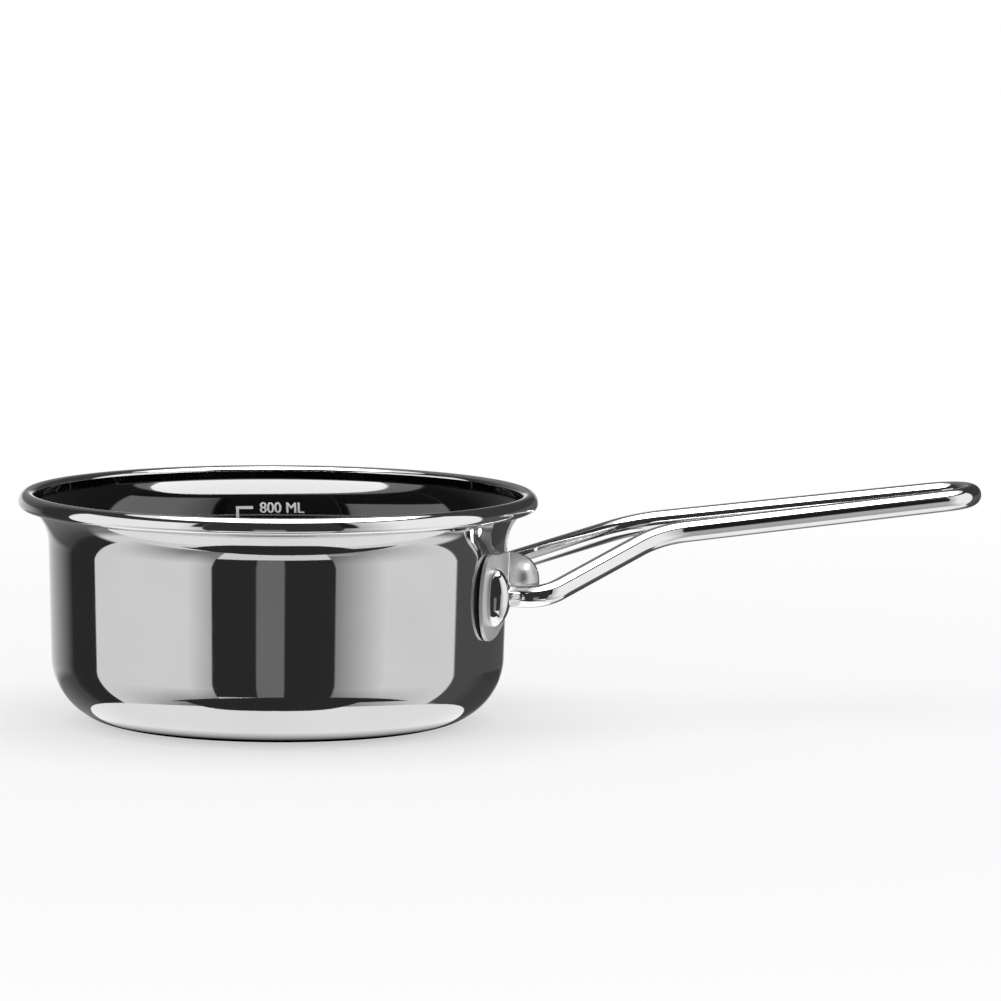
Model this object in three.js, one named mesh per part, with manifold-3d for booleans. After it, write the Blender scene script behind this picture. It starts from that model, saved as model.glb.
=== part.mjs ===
// Steel saucepan with an enamel lining, a rim band and a riveted wire loop handle.
// Millimetres, +Z up. The origin is on the pan's axis at its base, and the handle points along +X.
import * as THREE from "three";
import { mergeVertices } from "three/addons/utils/BufferGeometryUtils.js";
import Module from "manifold-3d";

// Fits
const GAP = 0.3; // between pieces that rest on each other
const HOLE_CLEARANCE = 0.3; // around a rivet's shank

// Pan body
const HEIGHT = 71; // base to the top of the rim band
const STEEL_WALL = 1; // drawn sheet
const LINING_WALL = 0.5; // enamel inside
const LINING_GAP = 0.1; // between the steel and its enamel
const LOW_RADIUS = 69.8; // outside, at the top of the bottom corner
const HIGH_RADIUS = 70.65; // outside, where the flare begins
const CORNER_RADIUS = 20.3; // outside, between base and wall
const FLARE_RADIUS = 11; // outside of the opening mouth
const FLARE_ANGLE = THREE.MathUtils.degToRad(38); // mouth from upright
const MOUTH_LENGTH = 3.8; // straight mouth past the flare, up to the band
const LIP_LENGTH = 3.2; // thinner lip past the mouth, inside the band
const LIP_WALL = 1.2; // lip with its lining

// Rim band
const BAND_ABOVE_LIP = 2.23; // band top over the lip's inner edge
const BAND_PROUD = 3.97; // widest point past the lip's inner edge
const BAND_WIDEST_DROP = 2.7; // widest point below the band's top
const BAND_CROWN = 1; // top edge stands in from the widest point
const BAND_TOP_ROUND = 0.55; // rounding of the top edge
const BAND_SKIRT = 0.4; // sheet thickness at the lower edge
const BAND_HEEL = 2; // rounding under the widest point
const BAND_HEEL_DROP = 1.8; // heel below the widest point

// Brackets
const BRACKET_ANGLE = THREE.MathUtils.degToRad(33.8); // either side of the handle's plane
const RIVET_DROP = 29.3; // rivet's axis below the top of the rim band
const SHEET = 1.5;
const BEND_INNER_RADIUS = 0.5;
const FLANGE_RADIUS = 13.2;
const EAR_FACE = 12.6; // rivet's axis to the ear's near face
const EAR_RADIUS = 9.3;
const EAR_RISE = 3.3; // ear's centre over the rivet's axis
const EAR_STRAIGHT = 0.3; // flange to the ear's centre

// Rivets and their washers
const SHANK_RADIUS = 3;
const DOME_RADIUS = 9;
const DOME_HEIGHT = 4.2;
const DOME_EDGE = 0.4; // upright edge under the dome
const INNER_HEAD_RADIUS = 5.5;
const INNER_HEAD_HEIGHT = 1.6;
const INNER_HEAD_EDGE = 0.5;
const WASHER_RADIUS = 6.5;
const WASHER_THICKNESS = 0.8;

// Handle wire, on its centreline
const WIRE_DIAMETER = 6.7;
const WIRE_DROP = 0.4; // wire below the rivet's axis
const WELD_GAP = 0.5; // wire to ear, filled by the weld
const EXIT_LENGTH = 9; // wire's end to the first bend's corner
const LEG_REACH = 46.05; // wall to the second bend's corner
const LEG_RISE = 16.1;
const GRIP_LENGTH = 103.8; // second bend's corner to the loop's end
const GRIP_RISE = 9.6;
const BEND_HALF_WIDTH = 16.1; // at the second bend
const END_HALF_WIDTH = 10.4; // at the loop's end
const END_FLAT = 0.2; // straight middle of the loop's end
const EXIT_BEND_RADIUS = 6.6;
const GRIP_BEND_RADIUS = 34;

// Facets
const ROUND_SEGMENTS = 64; // body and rim band
const RIVET_SEGMENTS = 28;
const ARC_STEPS = 7;
const ROLL_STEPS = 4; // band's heel and top
const DOME_STEPS = 5;
const WIRE_SIDES = 12;
const WIRE_STEPS = 116;
const OUTLINE_SIDES = 32; // round outlines of the brackets

// Finishes
const ENAMEL = { color: 0x1b1b1d, roughness: 0.12, metalness: 0.0 };
const POLISHED_STEEL = { color: 0xd6d6d4, roughness: 0.12, metalness: 1.0 };
const RIVET_STEEL = { color: 0xcfcfcd, roughness: 0.16, metalness: 1.0 };
const WASHER_STEEL = { color: 0xbdbdbb, roughness: 0.3, metalness: 1.0 };

const wasm = await Module();
wasm.setup();

const point = (x, y) => new THREE.Vector2(x, y);

// Points on an arc about a centre, from one angle to another, ends included.
function arc(centre, radius, from, to, steps = ARC_STEPS) {
  return Array.from({ length: steps + 1 }, (_, i) => {
    const angle = from + ((to - from) * i) / steps;
    return point(centre.x + radius * Math.cos(angle), centre.y + radius * Math.sin(angle));
  });
}

// Merged vertices, no collapsed triangles, faces pointing out.
function closedGeometry(geometry) {
  const bare = geometry.clone();
  bare.deleteAttribute("normal");
  bare.deleteAttribute("uv");
  const merged = mergeVertices(bare, 1e-4);
  const position = merged.attributes.position;
  const corner = [new THREE.Vector3(), new THREE.Vector3(), new THREE.Vector3()];
  const kept = [];
  let volume = 0;
  for (let i = 0; i < merged.index.count; i += 3) {
    const triangle = [0, 1, 2].map((k) => merged.index.getX(i + k));
    if (new Set(triangle).size === 3) {
      triangle.forEach((vertex, k) => corner[k].fromBufferAttribute(position, vertex));
      volume += corner[0].dot(corner[1].clone().cross(corner[2])) / 6;
      kept.push(triangle);
    }
  }
  merged.setIndex(kept.flatMap(([a, b, c]) => (volume > 0 ? [a, b, c] : [a, c, b])));
  return merged;
}

function toSolid(geometry) {
  const closed = closedGeometry(geometry);
  return new wasm.Manifold(
    new wasm.Mesh({
      numProp: 3,
      vertProperties: new Float32Array(closed.attributes.position.array),
      triVerts: new Uint32Array(closed.index.array),
    }),
  );
}

function toGeometry(solid) {
  const mesh = solid.getMesh();
  const geometry = new THREE.BufferGeometry();
  geometry.setAttribute("position", new THREE.BufferAttribute(mesh.vertProperties, 3));
  geometry.setIndex(new THREE.BufferAttribute(mesh.triVerts, 1));
  geometry.computeVertexNormals();
  return geometry;
}

// A profile of (radius, height) points turned about the Z axis.
function turned(profile, segments) {
  return new THREE.LatheGeometry(profile, segments).rotateX(Math.PI / 2);
}

function namedMesh(name, geometry, finish) {
  const mesh = new THREE.Mesh(geometry, new THREE.MeshStandardMaterial(finish));
  mesh.name = name;
  return mesh;
}

// Body lines: the whole wall, the flare's centre, the lip's direction and the lip's inner edge
const wall = STEEL_WALL + LINING_GAP + LINING_WALL;
const lipAlong = point(Math.sin(FLARE_ANGLE), Math.cos(FLARE_ANGLE));
const lipOutward = point(Math.cos(FLARE_ANGLE), -Math.sin(FLARE_ANGLE));
const flareInnerRadius = FLARE_RADIUS + wall;
const lipEnd = MOUTH_LENGTH + LIP_LENGTH;
const flareRise = flareInnerRadius * Math.sin(FLARE_ANGLE) + lipEnd * lipAlong.y;
const flareCentre = point(HIGH_RADIUS + FLARE_RADIUS, HEIGHT - BAND_ABOVE_LIP - flareRise);
const mouthStart = flareCentre.clone().addScaledVector(lipOutward, -flareInnerRadius);
const onMouth = (along, outward) =>
  mouthStart.clone().addScaledVector(lipAlong, along).addScaledVector(lipOutward, outward);
const lipEdge = onMouth(lipEnd, 0);

// Wall lines between the corner and the flare
const wallRise = flareCentre.y - CORNER_RADIUS;
const wallSlope = (HIGH_RADIUS - LOW_RADIUS) / wallRise;
const wallLean = Math.atan(wallSlope);
const wallRadiusAt = (height) => LOW_RADIUS + wallSlope * (height - CORNER_RADIUS);
const rivetHeight = HEIGHT - RIVET_DROP;

// Base, corner, wall and flare at a depth inside the outer face, from the middle outwards
function bodyLine(depth) {
  const cornerCentre = point(LOW_RADIUS - CORNER_RADIUS, CORNER_RADIUS);
  return [
    point(0, depth),
    ...arc(cornerCentre, CORNER_RADIUS - depth, -Math.PI / 2, 0),
    ...arc(flareCentre, FLARE_RADIUS + depth, Math.PI, Math.PI - FLARE_ANGLE),
  ];
}

// Drawn steel body with its bare lip, as one closed profile
function bodyProfile() {
  return [
    ...bodyLine(0),
    onMouth(MOUTH_LENGTH, wall),
    onMouth(MOUTH_LENGTH, LIP_WALL),
    onMouth(lipEnd, LIP_WALL),
    onMouth(lipEnd, wall - STEEL_WALL),
    ...bodyLine(STEEL_WALL).reverse(),
  ];
}

// Enamel from the middle of the base to the lip's edge
function liningProfile() {
  return [
    ...bodyLine(wall - LINING_WALL),
    onMouth(lipEnd, LINING_WALL),
    lipEdge,
    ...bodyLine(wall).reverse(),
  ];
}

// Steel band closed over the lip: skirt, heel, outer face, round top and inner face
function bandProfile() {
  const top = lipEdge.y + BAND_ABOVE_LIP;
  const widest = point(lipEdge.x + BAND_PROUD, top - BAND_WIDEST_DROP);
  const crown = point(widest.x - BAND_CROWN - BAND_TOP_ROUND, top - BAND_TOP_ROUND);
  const faceLean = Math.atan2(BAND_CROWN, BAND_WIDEST_DROP - BAND_TOP_ROUND);
  const grooveOut = LIP_WALL + GAP;
  const skirt = onMouth(MOUTH_LENGTH + GAP, grooveOut + BAND_SKIRT);
  const heel = point(widest.x - BAND_HEEL, widest.y - BAND_HEEL_DROP);
  const underSlope = (heel.y - skirt.y) / (heel.x - skirt.x);
  const heelCorner = point(widest.x, heel.y + underSlope * BAND_HEEL);
  const heelRound = new THREE.QuadraticBezierCurve(heel, heelCorner, widest);
  return [
    onMouth(MOUTH_LENGTH + GAP, grooveOut),
    skirt,
    ...heelRound.getPoints(ROLL_STEPS),
    ...arc(crown, BAND_TOP_ROUND, faceLean, Math.PI, ROLL_STEPS),
    onMouth(lipEnd + GAP, 0),
    onMouth(lipEnd + GAP, grooveOut),
    onMouth(MOUTH_LENGTH + GAP, grooveOut),
  ];
}

// A frame on the wall at a rivet: X along the wall, Y up it and Z out of it
function wallFrame(angle) {
  const outward = new THREE.Vector3(Math.cos(angle), Math.sin(angle), 0);
  const along = new THREE.Vector3(-Math.sin(angle), Math.cos(angle), 0);
  const frame = new THREE.Group();
  frame.position.copy(outward).multiplyScalar(wallRadiusAt(rivetHeight)).setZ(rivetHeight);
  const upright = new THREE.Matrix4().makeBasis(along, new THREE.Vector3(0, 0, 1), outward);
  frame.quaternion.setFromRotationMatrix(upright);
  frame.rotateX(wallLean);
  frame.updateMatrix();
  return frame;
}

// Levels along a rivet's axis, out of the wall's outer face
const flangeBack = GAP;
const flangeFront = flangeBack + SHEET;
const domeSeat = flangeFront + GAP;
const washerSag = WASHER_RADIUS ** 2 / (2 * (LOW_RADIUS - wall));
const washerSeat = -wall - washerSag - GAP;
const innerHeadSeat = washerSeat - WASHER_THICKNESS - GAP;
const holeRadius = SHANK_RADIUS + HOLE_CLEARANCE;

// The dome's height over its seat at a distance from the rivet's axis
const domeCap = DOME_HEIGHT - DOME_EDGE;
const domeBallRadius = (DOME_RADIUS ** 2 + domeCap ** 2) / (2 * domeCap);
const domeLevelAt = (distance) =>
  domeSeat + DOME_HEIGHT - domeBallRadius + Math.sqrt(domeBallRadius ** 2 - distance ** 2);

function rivetGeometry() {
  const domeCentre = point(0, domeSeat + DOME_HEIGHT - domeBallRadius);
  const domeStart = Math.acos(DOME_RADIUS / domeBallRadius);
  const headCap = INNER_HEAD_HEIGHT - INNER_HEAD_EDGE;
  const headBallRadius = (INNER_HEAD_RADIUS ** 2 + headCap ** 2) / (2 * headCap);
  const headCentre = point(0, innerHeadSeat - INNER_HEAD_HEIGHT + headBallRadius);
  const headEnd = -Math.acos(INNER_HEAD_RADIUS / headBallRadius);
  const profile = [
    ...arc(headCentre, headBallRadius, -Math.PI / 2, headEnd, DOME_STEPS),
    point(INNER_HEAD_RADIUS, innerHeadSeat),
    point(SHANK_RADIUS, innerHeadSeat),
    point(SHANK_RADIUS, domeSeat),
    point(DOME_RADIUS, domeSeat),
    ...arc(domeCentre, domeBallRadius, domeStart, Math.PI / 2, DOME_STEPS),
  ];
  profile[0].x = 0;
  profile[profile.length - 1].x = 0;
  return turned(profile, RIVET_SEGMENTS);
}

function washerGeometry() {
  const farFace = washerSeat - WASHER_THICKNESS;
  const profile = [
    point(holeRadius, farFace),
    point(WASHER_RADIUS, farFace),
    point(WASHER_RADIUS, washerSeat),
    point(holeRadius, washerSeat),
    point(holeRadius, farFace),
  ];
  return turned(profile, RIVET_SEGMENTS);
}

// A straight cutter along a rivet's axis, from its inner head to its dome
function rivetHole() {
  const depth = domeSeat - innerHeadSeat;
  return new THREE.CylinderGeometry(holeRadius, holeRadius, depth, RIVET_SEGMENTS)
    .rotateX(Math.PI / 2)
    .translate(0, 0, (domeSeat + innerHeadSeat) / 2);
}

function extruded(shape, depth, start) {
  const settings = { depth, bevelEnabled: false, curveSegments: OUTLINE_SIDES / 2 };
  return new THREE.ExtrudeGeometry(shape, settings).translate(0, 0, start);
}

// Folded sheet bracket: a round flange on the wall and a half-round ear standing out of it.
// side is +1 where the ear lies towards +X of the wall frame, and -1 where it lies towards -X.
function bracketGeometry(side) {
  const earBack = EAR_FACE + SHEET;
  const earCentre = flangeFront + EAR_STRAIGHT;
  const earEnd = earCentre + EAR_RADIUS;
  const earTop = EAR_RISE + EAR_RADIUS;
  const earFoot = EAR_RISE - EAR_RADIUS;
  const outerBend = BEND_INNER_RADIUS + SHEET;
  const reach = FLANGE_RADIUS + EAR_RADIUS;

  // Folded strip, drawn across the fold and extruded up the wall
  const strip = new THREE.Shape();
  strip.moveTo(-FLANGE_RADIUS, flangeBack);
  strip.lineTo(earBack - outerBend, flangeBack);
  strip.absarc(earBack - outerBend, flangeBack + outerBend, outerBend, -Math.PI / 2, 0, false);
  strip.lineTo(earBack, earEnd);
  strip.lineTo(EAR_FACE, earEnd);
  strip.lineTo(EAR_FACE, flangeFront + BEND_INNER_RADIUS);
  strip.absarc(
    EAR_FACE - BEND_INNER_RADIUS,
    flangeFront + BEND_INNER_RADIUS,
    BEND_INNER_RADIUS,
    0,
    -Math.PI / 2,
    true,
  );
  strip.lineTo(-FLANGE_RADIUS, flangeFront);
  strip.closePath();
  const stripSolid = toSolid(extruded(strip, 2 * reach, -reach).rotateX(Math.PI / 2));

  // Outline of the flange: a disc with a straight web up to the fold
  const disc = new THREE.Shape().absarc(0, 0, FLANGE_RADIUS, 0, 2 * Math.PI, false);
  const web = new THREE.Shape([
    point(0, earFoot),
    point(earBack + GAP, earFoot),
    point(earBack + GAP, earTop),
    point(0, earTop),
  ]);
  const flangeDepth = SHEET + BEND_INNER_RADIUS + 2 * GAP;
  const flangeOutline = toSolid(extruded(disc, flangeDepth, flangeBack - GAP)).add(
    toSolid(extruded(web, flangeDepth, flangeBack - GAP)),
  );

  // Outline of the ear, drawn out of the wall and extruded along it
  const ear = new THREE.Shape();
  ear.moveTo(flangeBack - GAP, earFoot);
  ear.lineTo(earCentre, earFoot);
  ear.absarc(earCentre, EAR_RISE, EAR_RADIUS, -Math.PI / 2, Math.PI / 2, false);
  ear.lineTo(flangeBack - GAP, earTop);
  ear.closePath();
  const earDepth = SHEET + outerBend + 2 * GAP;
  const earOutline = toSolid(
    extruded(ear, earDepth, 0)
      .rotateY(-Math.PI / 2)
      .translate(earBack + GAP, 0, 0),
  );

  const folded = stripSolid.intersect(flangeOutline.add(earOutline)).subtract(toSolid(rivetHole()));
  return closedGeometry(toGeometry(folded).scale(side, 1, 1));
}

// A turned shell with a hole for each rivet
function piercedShell(profile, frames) {
  let shell = toSolid(turned(profile, ROUND_SEGMENTS));
  for (const frame of frames) {
    shell = shell.subtract(toSolid(rivetHole().applyMatrix4(frame.matrix)));
  }
  return toGeometry(shell);
}

// A circular arc in space that rounds the corner between two straight runs
class CornerArc extends THREE.Curve {
  constructor(start, corner, end) {
    super();
    const toStart = start.clone().sub(corner).normalize();
    const toEnd = end.clone().sub(corner).normalize();
    const halfAngle = toStart.angleTo(toEnd) / 2;
    const bisector = toStart.clone().add(toEnd).normalize();
    this.centre = corner.clone().addScaledVector(bisector, start.distanceTo(corner) / Math.cos(halfAngle));
    this.first = start.clone().sub(this.centre);
    this.last = end.clone().sub(this.centre);
    this.sweep = this.first.angleTo(this.last);
  }

  getPoint(t, target = new THREE.Vector3()) {
    const a = Math.sin((1 - t) * this.sweep) / Math.sin(this.sweep);
    const b = Math.sin(t * this.sweep) / Math.sin(this.sweep);
    return target.copy(this.centre).addScaledVector(this.first, a).addScaledVector(this.last, b);
  }
}

// Straight runs through corners, each corner rounded to its radius
function roundedPath(corners, radii) {
  const path = new THREE.CurvePath();
  let from = corners[0];
  for (let i = 1; i < corners.length - 1; i += 1) {
    const before = corners[i - 1].clone().sub(corners[i]);
    const after = corners[i + 1].clone().sub(corners[i]);
    const setback = radii[i - 1] / Math.tan(before.angleTo(after) / 2);
    const start = corners[i].clone().addScaledVector(before.normalize(), setback);
    const end = corners[i].clone().addScaledVector(after.normalize(), setback);
    path.add(new THREE.LineCurve3(from, start));
    path.add(new CornerArc(start, corners[i], end));
    from = end;
  }
  path.add(new THREE.LineCurve3(from, corners[corners.length - 1]));
  return path;
}

// Centreline of the handle: out of one bracket, up a leg, along the grip, round the end and back
function wirePath() {
  const wireRadius = WIRE_DIAMETER / 2;
  const height = rivetHeight - WIRE_DROP;
  const across = EAR_FACE - WELD_GAP - wireRadius;
  const clearOfDome = domeLevelAt(across - wireRadius) + GAP;
  const wallRadius = wallRadiusAt(rivetHeight);
  const offWall = (distance) =>
    new THREE.Vector3(
      (wallRadius + distance) * Math.cos(BRACKET_ANGLE) + across * Math.sin(BRACKET_ANGLE),
      (wallRadius + distance) * Math.sin(BRACKET_ANGLE) - across * Math.cos(BRACKET_ANGLE),
      height,
    );
  const bendX = HIGH_RADIUS + LEG_REACH;
  const half = [
    offWall(clearOfDome),
    offWall(clearOfDome + EXIT_LENGTH),
    new THREE.Vector3(bendX, BEND_HALF_WIDTH, height + LEG_RISE),
    new THREE.Vector3(bendX + GRIP_LENGTH, END_HALF_WIDTH, height + LEG_RISE + GRIP_RISE),
  ];
  const mirrored = half.map((p) => new THREE.Vector3(p.x, -p.y, p.z)).reverse();
  const gripTurn = half[2].clone().sub(half[3]).angleTo(new THREE.Vector3(0, -1, 0));
  const endRadius = (END_HALF_WIDTH - END_FLAT / 2) * Math.tan(gripTurn / 2);
  const radii = [EXIT_BEND_RADIUS, GRIP_BEND_RADIUS, endRadius];
  return roundedPath([...half, ...mirrored], [...radii, ...radii.slice().reverse()]);
}

function wireGeometry() {
  const section = new THREE.Shape().absarc(0, 0, WIRE_DIAMETER / 2, 0, 2 * Math.PI, false);
  return new THREE.ExtrudeGeometry(section, {
    steps: WIRE_STEPS,
    curveSegments: WIRE_SIDES / 2,
    extrudePath: wirePath(),
  });
}

// Assembly
const pan = new THREE.Group();
const sides = [
  { name: "right", frame: wallFrame(-BRACKET_ANGLE), ear: 1 },
  { name: "left", frame: wallFrame(BRACKET_ANGLE), ear: -1 },
];

const frames = sides.map((side) => side.frame);

pan.add(namedMesh("pan_body", piercedShell(bodyProfile(), frames), POLISHED_STEEL));
pan.add(namedMesh("enamel_lining", piercedShell(liningProfile(), frames), ENAMEL));
pan.add(namedMesh("rim_band", closedGeometry(turned(bandProfile(), ROUND_SEGMENTS)), POLISHED_STEEL));
pan.add(namedMesh("handle_wire", closedGeometry(wireGeometry()), POLISHED_STEEL));
for (const { name, frame, ear } of sides) {
  frame.add(namedMesh(`${name}_bracket`, bracketGeometry(ear), POLISHED_STEEL));
  frame.add(namedMesh(`${name}_rivet`, closedGeometry(rivetGeometry()), RIVET_STEEL));
  frame.add(namedMesh(`${name}_rivet_washer`, closedGeometry(washerGeometry()), WASHER_STEEL));
  pan.add(frame);
}

export default pan;
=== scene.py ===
# Polished steel saucepan with an enamel lining, dressed over its solids in their frame.
# The pan's sizes are in millimetres and scaled when a mesh is made; the camera and the stage are in metres.
import math
from itertools import pairwise

import bmesh
import bpy
from mathutils import Matrix, Vector


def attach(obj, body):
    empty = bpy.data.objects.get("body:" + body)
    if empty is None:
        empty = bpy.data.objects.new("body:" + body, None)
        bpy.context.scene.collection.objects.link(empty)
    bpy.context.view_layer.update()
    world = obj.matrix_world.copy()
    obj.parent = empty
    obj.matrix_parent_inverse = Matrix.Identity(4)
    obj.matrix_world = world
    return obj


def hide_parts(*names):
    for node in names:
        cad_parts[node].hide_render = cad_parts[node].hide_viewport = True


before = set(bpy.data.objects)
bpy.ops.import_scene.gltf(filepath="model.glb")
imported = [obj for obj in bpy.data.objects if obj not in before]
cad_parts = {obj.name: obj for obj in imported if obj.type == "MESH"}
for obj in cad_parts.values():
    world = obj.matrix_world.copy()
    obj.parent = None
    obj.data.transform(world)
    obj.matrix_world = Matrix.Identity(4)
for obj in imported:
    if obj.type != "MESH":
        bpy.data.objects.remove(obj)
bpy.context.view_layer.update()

MM = 0.001
QUARTER = math.pi / 2
FULL_TURN = 2 * math.pi

# Hair's breadths that keep the dressed pieces inside the box of the solids
INSET = 0.02
GRIP_INSET = 0.08

# Pan body and lining
HEIGHT = 71
STEEL_WALL = 1
LINING_WALL = 0.5
LINING_GAP = 0.1
LOW_RADIUS = 69.8
HIGH_RADIUS = 70.65
CORNER_RADIUS = 20.3
FLARE_FOOT = 54.5
FLARE_RADIUS = 14.2
FLARE_TURN = math.radians(48.8)
LINING_TURN = math.radians(52)
LIP_WALL = 0.35
LIP_FOOT = (75.3, 67)

# Rim band: its rounded section from the crease below to its foot on the lining
RIM_RADIUS = 80
RIM_WIDEST = 67.7
RIM_CROWN_RADIUS = 77.5
RIM_HEEL = (78.2, 65.85)
RIM_HEEL_CORNER = 66.1
RIM_FOOT = (75.05, 69.4)
RIM_GROOVE = ((75.75, 69.4), (75.9, 67.6), (76.2, 66.0))

# Brackets
BRACKET_ANGLE = math.radians(32.4)
SHEET = 1.2
BRACKET_GAP = 0.15
BEND_INNER_RADIUS = 0.5
FLANGE_HALF_HEIGHT = 13.2
FLANGE_PLACE = -3.9
FLANGE_FREE_WIDTH = 7.2
FLANGE_EAR_WIDTH = 15.3
EAR_FACE = 10.9
EAR_RADIUS = 9.3
EAR_RISE = 3.3
EAR_STRAIGHT = 0.3
EAR_FULLNESS = 0.75
EAR_FOOT = -4
EDGE_ROUND = 0.25
EDGE_ROUND_SEGMENTS = 3
EDGE_ROUND_LIMIT = math.radians(50)

# Rivets and washers
GAP = 0.3
RIVET_DROP = 29.3
SHANK_RADIUS = 3
DOME_GAP = 0.05
DOME_HALF_HEIGHT = 9
DOME_HEIGHT = 5.4
DOME_PLACE = -2.5
DOME_FREE_WIDTH = 4.2
DOME_EAR_WIDTH = 5.8
DOME_TOLERANCE = 0.01
INNER_HEAD_RADIUS = 5.5
INNER_HEAD_HEIGHT = 1.6
INNER_HEAD_EDGE = 0.5
WASHER_RADIUS = 6.5
WASHER_THICKNESS = 0.8
WASHER_HOLE = 3.3

# Handle wire
WIRE_ANGLE = math.radians(33.8)
WIRE_RADIUS = 3.35
WIRE_DROP = 0.4
WIRE_ACROSS = 8.75
WIRE_START = 1.7
EXIT_LENGTH = 12.68
LEG_REACH = 46.05
LEG_RISE = 16.1
GRIP_LENGTH = 103.8
GRIP_RISE = 9.6
BEND_HALF_WIDTH = 16.1
END_HALF_WIDTH = 10.4
END_FLAT = 0.2
EXIT_BEND_RADIUS = 10
GRIP_BEND_RADIUS = 34
WIRE_END_ROUND = 0.6

# Weld beads between the wire's ends and the ears
WELD_PLACE = 11.95
WELD_START = 5.88
WELD_SHORT_OF_EAR = 0.9
WELD_LEVEL = 2.15
WELD_RADIUS = 0.95
WELD_RIPPLE = 0.07
WELD_RIPPLE_TURN = 40
WELD_BLUNTNESS = 6
WELD_TIP_SHARE = 0.12

# Graduation inside the wall: volume in millilitres and its height
MARKS = ((800, 58.3), (600, 44.8), (400, 31.3), (200, 17.8))
MARK_ANGLE = math.radians(90.8)
MARK_LINE = 0.9
MARK_TICK = 5
MARK_TEXT_START = 7
MARK_TEXT_HEIGHT = 3.25
MARK_CAPITAL_SHARE = 0.7
MARK_PROUD = 0.06
MARK_BOLD = 0.2
MARK_BOLD_LIFT = 0.2
MARK_COPIES = 2

# Facets
ROUND_SEGMENTS = 288
RIVET_SEGMENTS = 72
ARC_STEPS = 28
HEEL_STEPS = 16
INNER_HEAD_STEPS = 14
WIRE_SIDES = 40
WIRE_STEP = 1.2
WIRE_BEND_STEPS = 8
EDGE_TURN = math.radians(1.2)
FLANGE_COLUMNS = 63
FOLD_COLUMNS = 12
EAR_COLUMNS = 40
BRACKET_ROWS = 14
WELD_STEPS = 40
WELD_SIDES = 12
MARK_LINE_STEPS = 40
MARK_TICK_STEPS = 6
MARK_EDGE = 0.7
MARK_SPLITS = 4
MARK_CURVE_STEPS = 6
FLAT_STEPS = 96
SHARP_TURN = math.radians(40)
ON_AXIS = 1e-6
MERGE_DISTANCE = 1e-7

# Names of the shares that meshes carry to their materials
POLISH_SHARE = "polish"
SHADE_SHARE = "shade"

# Camera, from the photograph's perspective
CAMERA_AZIMUTH = math.radians(-10)
CAMERA_ELEVATION = math.radians(6.05)
CAMERA_DISTANCE = 2.156
CAMERA_LENS = 251.7
CAMERA_SENSOR = 36
CAMERA_ROLL = math.radians(0.44)
CAMERA_CLIP_START = 0.05
CAMERA_CLIP_END = 50
AIM_RIGHT = 0.0684
AIM_DOWN = 0.00271


# Profiles

def on_circle(centre, radius, angle):
    return Vector((centre.x + radius * math.cos(angle), centre.y + radius * math.sin(angle)))


def arc(centre, radius, start, end, steps=ARC_STEPS):
    return [on_circle(centre, radius, start + (end - start) * i / steps) for i in range(steps + 1)]


def bezier(first, control, last, steps):
    points = []
    for i in range(steps + 1):
        t = i / steps
        points.append(first * (1 - t) ** 2 + control * 2 * t * (1 - t) + last * t ** 2)
    return points


# Quarter of an ellipse from its side to its top
def quarter_ellipse(side, top):
    reach, rise = side.x - top.x, top.y - side.y
    turns = [QUARTER * i / ARC_STEPS for i in range(ARC_STEPS + 1)]
    return [Vector((top.x + reach * math.cos(a), side.y + rise * math.sin(a))) for a in turns]


wall = STEEL_WALL + LINING_GAP + LINING_WALL
flare_centre = Vector((HIGH_RADIUS + FLARE_RADIUS, FLARE_FOOT))
corner_centre = Vector((LOW_RADIUS - CORNER_RADIUS, CORNER_RADIUS))
wall_slope = (HIGH_RADIUS - LOW_RADIUS) / (FLARE_FOOT - CORNER_RADIUS)
wall_lean = math.atan(wall_slope)
rivet_height = HEIGHT - RIVET_DROP


def wall_radius_at(height):
    return LOW_RADIUS + wall_slope * (height - CORNER_RADIUS)


# Outline of the pan at a depth under its outer face, up to a turn of the flare
def body_line(depth, turn):
    return [
        Vector((0, depth + INSET)),
        *arc(corner_centre, CORNER_RADIUS - depth - INSET, -QUARTER, 0),
        *arc(flare_centre, FLARE_RADIUS + depth, math.pi, math.pi - turn),
    ]


def body_profile():
    return body_line(0, FLARE_TURN) + body_line(STEEL_WALL, FLARE_TURN)[::-1]


# The enamel ends in a lip that leans in under the band
def lining_profile():
    lip = [Vector(LIP_FOOT), Vector(RIM_FOOT)]
    behind = [p + Vector((LIP_WALL, -INSET)) for p in lip]
    outer = body_line(wall - LINING_WALL, LINING_TURN) + behind
    inner = body_line(wall, LINING_TURN) + lip
    return outer + inner[::-1]


def band_profile():
    crease = on_circle(flare_centre, FLARE_RADIUS, math.pi - FLARE_TURN)
    widest = Vector((RIM_RADIUS - INSET, RIM_WIDEST))
    crown = Vector((RIM_CROWN_RADIUS, HEIGHT - INSET))
    heel_corner = Vector((widest.x, RIM_HEEL_CORNER))
    return [
        crease,
        *bezier(Vector(RIM_HEEL), heel_corner, widest, HEEL_STEPS)[:-1],
        *quarter_ellipse(widest, crown),
        *quarter_ellipse(Vector(RIM_FOOT), crown)[-2::-1],
        *[Vector(p) for p in RIM_GROOVE],
        crease,
    ]


# Meshes

def add_object(name, builder):
    mesh = bpy.data.meshes.new(name)
    builder.to_mesh(mesh)
    builder.free()
    piece = bpy.data.objects.new(name, mesh)
    bpy.context.collection.objects.link(piece)
    return piece


def smooth_object(name, builder):
    bmesh.ops.recalc_face_normals(builder, faces=builder.faces)
    for face in builder.faces:
        face.smooth = True
    for edge in builder.edges:
        edge.smooth = not (edge.is_manifold and edge.calc_face_angle(0) > SHARP_TURN)
    return add_object(name, builder)


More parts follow.
